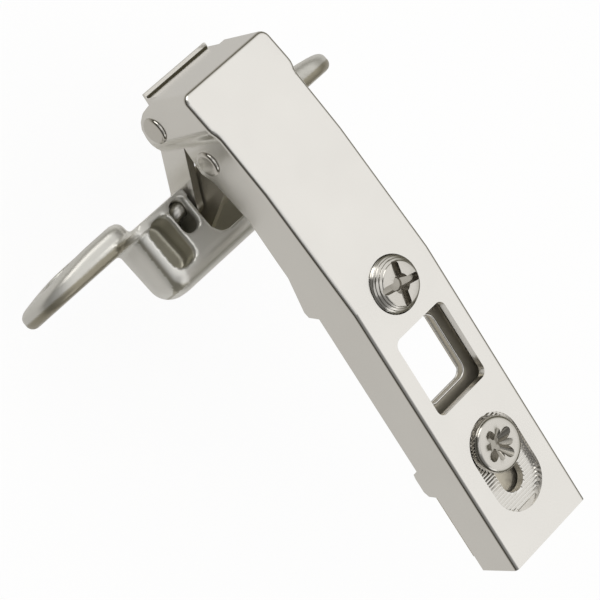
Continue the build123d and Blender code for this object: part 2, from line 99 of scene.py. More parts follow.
def noise(tree: bpy.types.NodeTree, place: bpy.types.NodeSocket, **inputs: float) -> bpy.types.NodeSocket:
    """Add a noise texture.

    Args:
        tree: The node tree that gets the texture.
        place: The socket that gives the place on the surface.
        **inputs: The texture's settings.

    Returns:
        The socket with the texture's value, from 0 to 1.
    """
    texture = add_node(tree, "ShaderNodeTexNoise", **inputs)
    tree.links.new(place, texture.inputs["Vector"])
    return texture.outputs["Fac"]


def vary_gloss(tree: bpy.types.NodeTree, value: bpy.types.NodeSocket, low: float, high: float) -> None:
    """Let a texture vary the shader's roughness.

    Args:
        tree: The material's node tree.
        value: The texture's value, from 0 to 1.
        low: Roughness where the value is 0.
        high: Roughness where the value is 1.
    """
    gloss = add_node(tree, "ShaderNodeMapRange", To_Min=low, To_Max=high)
    tree.links.new(value, gloss.inputs["Value"])
    tree.links.new(gloss.outputs["Result"], tree.nodes["Principled BSDF"].inputs["Roughness"])


def raised(tree: bpy.types.NodeTree, value: bpy.types.NodeSocket, strength: float, height: float,
           over: bpy.types.NodeSocket | None = None) -> bpy.types.NodeSocket:
    """Raise the surface by a texture.

    Args:
        tree: The material's node tree.
        value: The texture's value, from 0 to 1.
        strength: How strongly it shows.
        height: Its height in metres.
        over: The normal of another relief that it is added to.

    Returns:
        The socket with the new normal.
    """
    relief = add_node(tree, "ShaderNodeBump", Strength=strength, Distance=height)
    tree.links.new(value, relief.inputs["Height"])
    if over:
        tree.links.new(over, relief.inputs["Normal"])
    return relief.outputs["Normal"]


@dataclass(frozen=True)
class PlatedSteel:
    """Nickel plate over pressed or turned steel."""

    name: str
    colour: Colour = (0.80, 0.785, 0.755)
    roughness: float = 0.2
    spread: float = 0.06
    lay: Lay = Lay.ALONG
    grain: float = 0.00001
    ripple: float = 0.0
    metallic: float = 1.0
    toned: bool = False
    index: float = 1.6
    glossiest: float = 0.02
    dark_share: float = 0.95
    light_share: float = 1.04

    def make(self) -> bpy.types.Material:
        """Build the material.

        Returns:
            The procedural material, with grain, faint scratches and varied gloss.
        """
        made = bpy.data.materials.new(self.name)
        made.use_nodes = True
        tree = made.node_tree
        shader = tree.nodes["Principled BSDF"]
        shader.inputs["Metallic"].default_value = self.metallic
        shader.inputs["IOR"].default_value = self.index
        place = tree.nodes.new("ShaderNodeTexCoord").outputs["Object"]
        cloud = noise(tree, place, Scale=140.0, Detail=3.0, Roughness=0.5)
        glossy = max(self.glossiest, self.roughness - self.spread)
        vary_gloss(tree, cloud, glossy, self.roughness + self.spread)
        tree.links.new(self.tint(tree, cloud), shader.inputs["Base Color"])
        tree.links.new(self.relief(tree, place), shader.inputs["Normal"])
        return made

    def tint(self, tree: bpy.types.NodeTree, cloud: bpy.types.NodeSocket) -> bpy.types.NodeSocket:
        """Vary the plate's colour a little, and by the mesh's tones, which hold painted shade, where it has
        them.

        Args:
            tree: The material's node tree.
            cloud: A soft texture's value, from 0 to 1.

        Returns:
            The socket with the colour.
        """
        mix = tree.nodes.new("ShaderNodeMix")
        mix.data_type = "RGBA"
        share, dark, light, colour = mix.inputs[0], mix.inputs[6], mix.inputs[7], mix.outputs[2]
        dark.default_value = (*(self.dark_share * c for c in self.colour), 1)
        light.default_value = (*(min(1, self.light_share * c) for c in self.colour), 1)
        tree.links.new(cloud, share)
        if not self.toned:
            return colour
        # the mesh's tone attribute carries painted shade, which darkens the colour here
        tone_and_shade = tree.nodes.new("ShaderNodeAttribute")
        tone_and_shade.attribute_name = "tone_and_shade"
        both = tree.nodes.new("ShaderNodeVectorMath")
        both.operation = "MULTIPLY"
        tree.links.new(colour, both.inputs[0])
        tree.links.new(tone_and_shade.outputs["Color"], both.inputs[1])
        return both.outputs["Vector"]

    def relief(self, tree: bpy.types.NodeTree, place: bpy.types.NodeSocket) -> bpy.types.NodeSocket:
        """Brush the plate and, where it has a ripple, make it a little uneven.

        Args:
            tree: The material's node tree.
            place: The socket that gives the place on the surface.

        Returns:
            The socket with the normal.
        """
        stretch = add_node(tree, "ShaderNodeMapping", Scale=self.lay.value)
        tree.links.new(place, stretch.inputs["Vector"])
        grain = noise(tree, stretch.outputs["Vector"], Scale=120.0, Detail=4.0, Roughness=0.6)
        brushed = raised(tree, grain, strength=0.35, height=self.grain)
        if not self.ripple:
            return brushed
        wave = noise(tree, place, Scale=90.0, Detail=1.0)
        return raised(tree, wave, strength=0.5, height=self.ripple, over=brushed)


@dataclass(frozen=True)
class MouldedPlastic:
    """Off-white moulded plastic with a fine matt texture."""

    name: str
    colour: Colour = (0.80, 0.78, 0.73)
    roughness: float = 0.5
    spread: float = 0.1
    grain: float = 0.00002

    def make(self) -> bpy.types.Material:
        """Build the material.

        Returns:
            The procedural material, with a fine moulded grain.
        """
        made = bpy.data.materials.new(self.name)
        made.use_nodes = True
        tree = made.node_tree
        shader = tree.nodes["Principled BSDF"]
        shader.inputs["Base Color"].default_value = (*self.colour, 1)
        place = tree.nodes.new("ShaderNodeTexCoord").outputs["Object"]
        grain = noise(tree, place, Scale=2500.0, Detail=2.0)
        vary_gloss(tree, grain, self.roughness - self.spread, self.roughness + self.spread)
        relief = raised(tree, grain, strength=0.3, height=self.grain)
        tree.links.new(relief, shader.inputs["Normal"])
        return made


@dataclass
class Finishes:
    """Every finish of the hinge, made once."""

    nickel: bpy.types.Material = field(default_factory=lambda: PlatedSteel("bright nickel").make())
    # the pressed nickel takes its colour from the mesh's tones, which carry painted shade in the cup's
    # hollows and along its wings' edges
    pressed: bpy.types.Material = field(
        default_factory=lambda: PlatedSteel("pressed nickel", colour=(1.0, 1.0, 1.0), roughness=0.36,
                                            spread=0.05, lay=Lay.NONE, metallic=0.65, toned=True,
                                            ripple=0.00002).make())
    turned: bpy.types.Material = field(
        default_factory=lambda: PlatedSteel("turned nickel", colour=(0.64, 0.62, 0.58), roughness=0.18,
                                            lay=Lay.NONE).make())
    # painted shade: the recess nickel is darker than the turned nickel and stands for the shade inside the
    # screws' recesses
    recess: bpy.types.Material = field(
        default_factory=lambda: PlatedSteel("recess nickel", colour=(0.42, 0.40, 0.36), roughness=0.26,
                                            lay=Lay.NONE).make())
    # painted shadow: a near-black steel for the strip that stands for the shadow in the nose's seam gap
    seam: bpy.types.Material = field(
        default_factory=lambda: PlatedSteel("seam steel", colour=(0.10, 0.09, 0.06), roughness=0.6,
                                            lay=Lay.NONE).make())
    inner: bpy.types.Material = field(
        default_factory=lambda: PlatedSteel("inner nickel", colour=(0.58, 0.54, 0.45), roughness=0.34,
                                            metallic=0.75).make())
    spring: bpy.types.Material = field(
        default_factory=lambda: PlatedSteel("spring steel", colour=(0.62, 0.61, 0.58), roughness=0.28,
                                            lay=Lay.ACROSS).make())
    brass: bpy.types.Material = field(
        default_factory=lambda: PlatedSteel("dull brass", colour=(0.68, 0.55, 0.30), roughness=0.34,
                                            lay=Lay.NONE).make())
    plastic: bpy.types.Material = field(default_factory=lambda: MouldedPlastic("slider plastic").make())


def joint_row(name: str) -> dict[str, Any]:
    """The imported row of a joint.

    Args:
        name: The joint's name.

    Returns:
        Its row, with places and ranges in metres.
    """
    return next(row for row in frame["joints"] if row["name"] == name)


def pivot(name: str) -> Point:
    """Place of a turning joint.

    Args:
        name: The joint's name.

    Returns:
        The place along, across and above in mm.
    """
    x, y, z = (round(v / MM, 6) for v in joint_row(name)["pos_m"])
    return x, y, z


def dress(node: str, finish: bpy.types.Material) -> None:
    """Give a CAD node its finish.

    Args:
        node: The node's name.
        finish: The material for every face.
    """
    piece = bpy.data.objects[node]
    for place in piece.material_slots:
        place.link = "OBJECT"
        place.material = finish
    if not piece.material_slots:
        piece.data.materials.append(finish)
    log.info("dressed %s", node)


def settle(name: str, shape: bmesh.types.BMesh, finish: bpy.types.Material, body: str,
           smooth: float = SHARP) -> bpy.types.Object:
    """Turn a bmesh into a finished piece that rides on a body.

    Args:
        name: The piece's name.
        shape: The mesh, in metres; it is freed.
        finish: The piece's material.
        body: The body that it rides on.
        smooth: Edges sharper than this many degrees stay sharp.

    Returns:
        The new object.
    """
    bmesh.ops.recalc_face_normals(shape, faces=shape.faces)
    mesh = bpy.data.meshes.new(name)
    shape.to_mesh(mesh)
    shape.free()
    mesh.materials.append(finish)
    piece = bpy.data.objects.new(name, mesh)
    bpy.context.scene.collection.objects.link(piece)
    mesh.shade_smooth()
    mesh.set_sharp_from_angle(angle=math.radians(smooth))
    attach(piece, body)
    log.info("built %s: %d faces", name, len(mesh.polygons))
    return piece


def applied(piece: bpy.types.Object) -> None:
    """Apply every modifier of a piece to its mesh.

    Args:
        piece: The object whose modifiers are baked in.
    """
    graph = bpy.context.evaluated_depsgraph_get()
    mesh = bpy.data.meshes.new_from_object(piece.evaluated_get(graph))
    piece.modifiers.clear()
    piece.data = mesh


def turned(profile: Sequence[tuple[float, float]], at: Point, steps: int = 96,
           thread: Callable[[float, float, float], float] | None = None) -> bmesh.types.BMesh:
    """Turn a profile round a vertical axis.

    Args:
        profile: Radius and height of each ring in mm, closed on the axis at both ends.
        at: The foot of the axis in mm.
        steps: How many faces go round.
        thread: Gives the radius from radius, height and angle, for a thread.

    Returns:
        The closed solid in metres.
    """
    shape = bmesh.new()
    rings: list[list[bmesh.types.BMVert]] = []
    for radius, height in profile:
        if radius == 0:
            rings.append([shape.verts.new((at[0] * MM, at[1] * MM, (at[2] + height) * MM))])
            continue
        ring = []
        for i in range(steps):
            a = 2 * math.pi * i / steps
            r = thread(radius, height, a) if thread else radius
            ring.append(shape.verts.new(((at[0] + r * math.cos(a)) * MM, (at[1] + r * math.sin(a)) * MM,
                                         (at[2] + height) * MM)))
        rings.append(ring)
    for low, high in zip(rings, rings[1:]):
        for i in range(steps):
            j = (i + 1) % steps
            corners = [low[i % len(low)], low[j % len(low)], high[j % len(high)], high[i % len(high)]]
            kept = list(dict.fromkeys(corners))
            if len(kept) > 2:
                shape.faces.new(kept)
    return shape


def cutter(outline: Sequence[tuple[float, float]], floor: Sequence[tuple[float, float]], low: float,
           high: float) -> bmesh.types.BMesh:
    """Make a tapered cutting block.

    Args:
        outline: The block's outline at its top, in mm.
        floor: The same outline, point for point, at its bottom.
        low: Height of the bottom in mm.
        high: Height of the top in mm.

    Returns:
        The closed block in metres.
    """
    shape = bmesh.new()
    top = [shape.verts.new((x * MM, y * MM, high * MM)) for x, y in outline]
    bottom = [shape.verts.new((x * MM, y * MM, low * MM)) for x, y in floor]
    shape.faces.new(top)
    shape.faces.new(list(reversed(bottom)))
    for i in range(len(top)):
        j = (i + 1) % len(top)
        shape.faces.new((top[j], top[i], bottom[i], bottom[j]))
    return shape


def circle(radius: float, centre: tuple[float, float], steps: int = 24) -> list[tuple[float, float]]:
    """Outline of a circle.

    Args:
        radius: Radius in mm.
        centre: Its middle in mm.
        steps: How many points it has.

    Returns:
        The outline's points in mm.
    """
    turns = [2 * math.pi * i / steps for i in range(steps)]
    return [(centre[0] + radius * math.cos(a), centre[1] + radius * math.sin(a)) for a in turns]


def carve(piece: bpy.types.Object, tools: Iterable[bmesh.types.BMesh], inside: bpy.types.Material,
          edge: float = 0.06) -> None:
    """Cut blocks out of a piece and break its sharp edges.

    Args:
        piece: The piece to cut.
        tools: The cutting blocks, which are freed.
        inside: The material of the cut faces, darker as painted shade.
        edge: Width of the broken edge in mm.
    """
    helpers = []
    for i, tool in enumerate(tools):
        bmesh.ops.recalc_face_normals(tool, faces=tool.faces)
        mesh = bpy.data.meshes.new(f"cut{i}")
        tool.to_mesh(mesh)
        tool.free()
        mesh.materials.append(inside)
        helper = bpy.data.objects.new(f"cut{i}", mesh)
        bpy.context.scene.collection.objects.link(helper)
        helpers.append(helper)
        cut = piece.modifiers.new("cut", "BOOLEAN")
        cut.operation = "DIFFERENCE"
        cut.solver = "EXACT"
        cut.material_mode = "TRANSFER"
        cut.object = helper
    bevel = piece.modifiers.new("edge", "BEVEL")
    bevel.width = edge * MM
    bevel.segments = 2
    bevel.limit_method = "ANGLE"
    bevel.angle_limit = math.radians(BROKEN)
    applied(piece)
    for helper in helpers:
        bpy.data.objects.remove(helper, do_unlink=True)
    piece.data.shade_smooth()
    piece.data.set_sharp_from_angle(angle=math.radians(SHARP))


def bar(length: float, width: float, angle: float, centre: tuple[float, float],
        steps: int = 6) -> list[tuple[float, float]]:
    """Outline of a bar with round ends.

    Args:
        length: Overall length in mm.
        width: Width in mm.
        angle: Turn from X in degrees.
        centre: Middle of the bar in mm.
        steps: Faces on each round end.

    Returns:
        The outline's points in mm.
    """
    a = math.radians(angle)
    points = []
    for end in (0, 1):
        for i in range(steps + 1):
            t = -math.pi / 2 + math.pi * i / steps + math.pi * end
            x = (1 - 2 * end) * (length - width) / 2 + width / 2 * math.cos(t)
            y = width / 2 * math.sin(t)
            points.append((centre[0] + x * math.cos(a) - y * math.sin(a),
                           centre[1] + x * math.sin(a) + y * math.cos(a)))
    return points


def notch(height: float, angle: float, pitch: float, depth: float) -> float:
    """How deep a thread is cut at one place.

    Args:
        height: Height of the place in mm.
        angle: Its angle round the axis in radians.
        pitch: The thread's pitch in mm.
        depth: The thread's full depth in mm.

    Returns:
        The depth there in mm.
    """
    phase = (height / pitch - angle / (2 * math.pi)) % 1
    return depth * (1 - abs(2 * phase - 1))


@dataclass
class SideScrew:
    """The side adjusting screw, threaded through the arm's top."""

    x: float = field(default_factory=lambda: pivot("side_screw_turn")[0])
    radius: float = 4.0
    foot: float = 7.7
    top: float = 11.5
    neck: float = 2.0
    neck_foot: float = 3.5
    pitch: float = 0.4
    depth: float = 0.2
    crown: float = 1.5
    crown_in: float = 0.95
    slot: float = 1.2
    slot_length: float = 6.7
    slot_angle: float = -14.0
    slot_deep: float = 1.3
    hub: float = 1.5
    hub_floor: float = 0.9
    hub_deep: float = 1.6
    chamfer: float = 0.15
    foot_in: float = 0.3
    crown_curve: float = 1.7
    crown_drop: float = 0.06
    flat: float = 1.0
    plain_foot: float = 0.1
    plain_top: float = 0.2
    thread_rings: int = 50
    crown_rings: int = 30
    slot_run: float = 0.5
    slot_taper: float = 0.1
    slot_over: float = 0.5
    hub_over: float = 0.3
    steps: int = 144

    def profile(self) -> list[tuple[float, float]]:
        """Outline of the screw, from the neck's end up.

        Returns:
            Radius and height of every ring in mm.
        """
        rings = [(0.0, self.neck_foot), (self.neck - self.chamfer, self.neck_foot),
                 (self.neck, self.neck_foot + self.chamfer), (self.neck, self.foot),
                 (self.radius - self.foot_in, self.foot)]
        start, shoulder = self.foot + self.chamfer, self.top - self.crown
        for i in range(self.thread_rings + 1):
            rings.append((self.radius, start + (shoulder - start) * i / self.thread_rings))
        for i in range(1, self.crown_rings + 1):
            t = i / self.crown_rings
            rings.append((self.radius - self.crown_in * t ** self.crown_curve,
                          shoulder + (self.crown - self.crown_drop) * t))
        edge = self.radius - self.crown_in - self.chamfer
        return [*rings, (edge, self.top), (self.flat, self.top), (0.0, self.top)]

    def thread(self, radius: float, height: float, angle: float) -> float:
        """Radius of the screw where its thread is cut.

        Args:
            radius: Radius of the ring in mm.
            height: Its height in mm.
            angle: Angle round the axis in radians.

        Returns:
            The radius there in mm, unchanged on the neck and at both ends.
        """
        wide = radius > self.neck
        cut = self.foot + self.plain_foot <= height <= self.top - self.plain_top
        return radius - notch(height, angle, self.pitch, self.depth) if wide and cut else radius

    def recess(self) -> list[bmesh.types.BMesh]:
        """Cutting blocks for the cross and its round hub.

        Returns:
            The blocks in metres.
        """
        centre = (self.x, 0.0)
        tools = []
        for angle in (self.slot_angle, self.slot_angle + 90):
            mouth = bar(self.slot_length, self.slot, angle, centre)
            bed = bar(self.slot_length - self.slot_run, self.slot - self.slot_taper, angle, centre)
            tools.append(cutter(mouth, bed, self.top - self.slot_deep, self.top + self.slot_over))
        tools.append(cutter(circle(self.hub, centre), circle(self.hub_floor, centre),
                            self.top - self.hub_deep, self.top + self.hub_over))
        return tools

    def build(self, finish: bpy.types.Material, inside: bpy.types.Material) -> None:
        """Build the screw in place of its CAD node.

        Args:
            finish: The screw's material.
            inside: The material of its recess, darker as painted shade.
        """
        shape = turned(self.profile(), (self.x, 0, 0), self.steps, self.thread)
        piece = settle("side_screw_detail", shape, finish, "side_screw_body")
        carve(piece, self.recess(), inside)
        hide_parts("side_adjust_screw")


@dataclass(frozen=True)
class Groove:
    """A tapered groove of a star recess: length and width at its mouth and its floor."""

    mouth: tuple[float, float]
    floor: tuple[float, float]
    deep: float
    steps: int


@dataclass
class ClampScrew:
    """The clamping screw with its star recess."""

    radius: float = 4.0
    under: float = 9.3
    head: float = 1.9
    shank: float = 1.9
    foot: float = 2.4
    pitch: float = 0.7
    angle: float = 20.0
    dish: float = 3.05
    main_groove: Groove = Groove((6.6, 1.7), (2.4, 0.8), 1.6, 6)
    side_groove: Groove = Groove((6.2, 1.5), (1.6, 0.3), 1.2, 4)
    groove_over: float = 0.4
    depth: float = 0.22
    point_in: float = 0.5
    point_edge: float = 0.1
    point_rise: float = 0.4
    thread_foot: float = 0.5
    thread_top: float = 0.3
    thread_rings: int = 60
    plain_top: float = 0.1
    under_in: float = 0.25
    under_rise: float = 0.2
    edge_out: float = 0.75
    edge_foot: float = 0.8
    edge_rise: float = 0.7
    edge_rings: int = 8
    dish_shape: tuple[tuple[float, float], ...] = ((1.0, 0.05), (0.6, 0.22), (0.25, 0.5), (0.0, 0.5))

    def profile(self) -> list[tuple[float, float]]:
        """Outline of the screw, from the shank's end up.

        Returns:
            Radius and height of every ring in mm.
        """
        top = self.under + self.head
        rings = [(0.0, self.foot), (self.shank - self.point_in, self.foot),
                 (self.shank - self.point_edge, self.foot + self.point_rise)]
        start, end = self.foot + self.thread_foot, self.under - self.thread_top
        for i in range(self.thread_rings):
            rings.append((self.shank, start + (end - start) * i / (self.thread_rings - 1)))
        rings += [(self.shank, self.under), (self.radius - self.under_in, self.under),
                  (self.radius, self.under + self.under_rise)]
        for i in range(self.edge_rings + 1):
            a = math.pi / 2 * i / self.edge_rings
            rings.append((self.radius - self.edge_out + self.edge_out * math.cos(a),
                          top - self.edge_foot + self.edge_rise * math.sin(a)))
        return rings + [(share * self.dish, top - deep) for share, deep in self.dish_shape]

    def thread(self, radius: float, height: float, angle: float) -> float:
        """Radius of the screw where its thread is cut.

        Args:
            radius: Radius of the ring in mm.
            height: Its height in mm.
            angle: Angle round the axis in radians.

        Returns:
            The radius there in mm, unchanged on the head.
        """
        if radius != self.shank or height > self.under - self.plain_top:
            return radius
        return radius - notch(height, angle, self.pitch, self.depth)

    def recess(self) -> list[bmesh.types.BMesh]:
        """Cutting blocks for the star.

        Returns:
            The blocks in metres.
        """
        top = self.under + self.head
        tools = []
        for groove, turns in ((self.main_groove, (0, 90)), (self.side_groove, (45, 135))):
            for turn in turns:
                mouth = bar(*groove.mouth, self.angle + turn, (0, 0), groove.steps)
                bed = bar(*groove.floor, self.angle + turn, (0, 0), groove.steps)
                tools.append(cutter(mouth, bed, top - groove.deep, top + self.groove_over))
        return tools

    def build(self, finish: bpy.types.Material, inside: bpy.types.Material) -> None:
        """Build the screw in place of its CAD node.

        Args:
            finish: The screw's material.
            inside: The material of its recess, darker as painted shade.
        """
        shape = turned(self.profile(), (0, 0, 0), thread=self.thread)
        piece = settle("clamp_screw_detail", shape, finish, "clamp_screw_body")
        carve(piece, self.recess(), inside)
        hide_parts("clamp_screw")


@dataclass
class RecessTeeth:
    """The fine teeth on the floor of the clamp screw's recess."""

    start: float = 0.12
    travel: float = field(default_factory=lambda: round(-joint_row("depth_slide")["range_m"][0] / MM, 6))
    radius: float = 4.45
    slot: float = 2.2
    pitch: float = 0.5
    floor: float = 9.0
    height: float = 0.16
    half: float = 0.24
    sunk: float = 0.03
    shortest: float = 0.2

    def spans(self, x: float) -> list[tuple[float, float]]:
        """Where a tooth runs at one place along the arm.

        Args:
            x: Place along the arm in mm.

        Returns:
            The start and end across the arm of each run in mm.
        """
        def reach(radius: float, first: float, last: float) -> float:
            """Half the width at x of a long hole.

            Args:
                radius: Radius of the hole's ends in mm.
                first: Middle of its front end in mm.
                last: Middle of its rear end in mm.

            Returns:
                The half width in mm, 0 beyond the hole.
            """
            off = max(first - x, 0, x - last)
            return math.sqrt(radius ** 2 - off ** 2) if off < radius else 0.0

        out = reach(self.radius, self.start, self.start + self.travel)
        hole = reach(self.slot, 0, self.travel)
        if out <= hole + self.shortest:
            return []
        return [(-out, out)] if hole == 0 else [(-out, -hole), (hole, out)]

    def build(self, finish: bpy.types.Material) -> None:
        """Build all the teeth as one piece.

        Args:
            finish: The teeth's material.
        """
        shape = bmesh.new()
        outline = ((-self.half, -self.sunk), (0, self.height), (self.half, -self.sunk))
        for i in range(int((self.travel + 2 * self.radius) / self.pitch)):
            x = self.start - self.radius + (i + 0.5) * self.pitch
            for low, high in self.spans(x):
                near, far = ([shape.verts.new(((x + dx) * MM, y * MM, (self.floor + dz) * MM))
                              for dx, dz in outline] for y in (low, high))
                for a, b in ((0, 1), (1, 2), (2, 0)):
                    shape.faces.new((near[a], near[b], far[b], far[a]))
                shape.faces.new(near)
                shape.faces.new(list(reversed(far)))
        piece = settle("recess_teeth", shape, finish, "arm_body")


@dataclass
class NoseSeamShadow:
    """A dark strip painted as the shadow in the seam gap above the lip at the foot of the nose wall."""

    wall: float = -64.4
    height: float = -7.6
    half: float = 6.1
    width: float = 0.45
    rise: float = 0.15

    def build(self, finish: bpy.types.Material) -> None:
        """Lay the painted seam shadow in the corner between the wall and the lip.

        Args:
            finish: The dark material of the painted seam shadow.
        """
        shape = bmesh.new()
        bmesh.ops.create_cube(shape, size=1.0)
        size = Vector((self.width, 2 * self.half, self.rise)) * MM
        middle = Vector((self.wall, 0, self.height + self.rise / 2)) * MM
        shape.transform(Matrix.Translation(middle) @ Matrix.Diagonal((*size, 1)))
        piece = settle("nose_seam", shape, finish, "arm_body")


@dataclass
class WindowBead:
    """The bright rolled edges of the adapter's window."""

    middle: float = -14.815
    length: float = 10.71
    width: float = 8.4
    corner: float = 1.6
    heights: tuple[float, ...] = (7.2, 6.0)
    radius: float = 0.16
    steps: int = 8

    def path(self) -> list[tuple[float, float, float]]:
        """Run of the bead round the window.

        Returns:
            Place along and across in mm and outward angle in radians of every point.
        """
        points = []
        for quarter, (sx, sy) in enumerate(((1, 1), (-1, 1), (-1, -1), (1, -1))):
            for i in range(self.steps + 1):
                a = math.pi / 2 * (quarter + i / self.steps)
                x = self.middle + sx * (self.length / 2 - self.corner) + self.corner * math.cos(a)
                y = sy * (self.width / 2 - self.corner) + self.corner * math.sin(a)
                points.append((x, y, a))
        return points

    def build(self, finish: bpy.types.Material) -> None:
        """Build both beads as one piece.

        Args:
            finish: The beads' material.
        """
        shape = bmesh.new()
        for height in self.heights:
            rings = []
            for x, y, a in self.path():
                ring = []
                for i in range(self.steps):
                    t = 2 * math.pi * i / self.steps
                    out = self.radius * math.cos(t)
                    ring.append(shape.verts.new(((x + out * math.cos(a)) * MM, (y + out * math.sin(a)) * MM,
                                                 (height + self.radius * math.sin(t)) * MM)))
                rings.append(ring)
            for low, high in zip(rings, rings[1:] + rings[:1]):
                for i in range(self.steps):
                    j = (i + 1) % self.steps
                    shape.faces.new((low[i], low[j], high[j], high[i]))
        piece = settle("window_bead", shape, finish, "base", 60.0)


@dataclass
class Rivet:
    """A rivet with low domed heads on both cheeks."""

    node: str
    joint: str
    head_radius: float
    outer_half: float
    shank: float = 1.3
    rise: float = 0.45
    crown_share: float = 0.35
    crown_drop: float = 0.03
    edge: float = 0.5
    edge_drop: float = 0.05
    gap: float = 0.02
    rings: int = 7
    steps: int = 64

    def profile(self) -> list[tuple[float, float]]:
        """Outline of the rivet, from one head to the other.

        Returns:
            Radius and place across of every ring in mm.
        """
        half = [(self.crown_share * self.head_radius, self.outer_half + self.rise - self.crown_drop)]
        for i in range(self.rings + 1):
            a = math.pi / 2 * (1 - i / self.rings)
            half.append((self.head_radius - self.edge + self.edge * math.cos(a),
                         self.outer_half + self.gap + (self.rise - self.edge_drop) * math.sin(a)))
        half.append((self.shank, self.outer_half + self.gap))
        end = self.outer_half + self.rise
        return [(0.0, -end), *((r, -h) for r, h in half), *reversed(half), (0.0, end)]

    def build(self, finish: bpy.types.Material) -> None:
        """Build the rivet in place of its CAD node.

        Args:
            finish: The rivet's material.
        """
        shape = turned(self.profile(), (0, 0, 0), self.steps)
        place = Matrix.Translation(Vector(pivot(self.joint)) * MM)
        shape.transform(place @ Matrix.Rotation(math.pi / 2, 4, "X"))
        piece = settle(f"{self.node}_detail", shape, finish, "arm_body")
        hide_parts(self.node)


def eased(value: float, start: float, end: float) -> float:
    """Ease a value from 0 at the start to 1 at the end.

    Args:
        value: The value.
        start: Where the result leaves 0.
        end: Where the result reaches 1.

    Returns:
        The eased share.
    """
    share = min(1.0, max(0.0, (value - start) / (end - start)))
    return share * share * (3 - 2 * share)


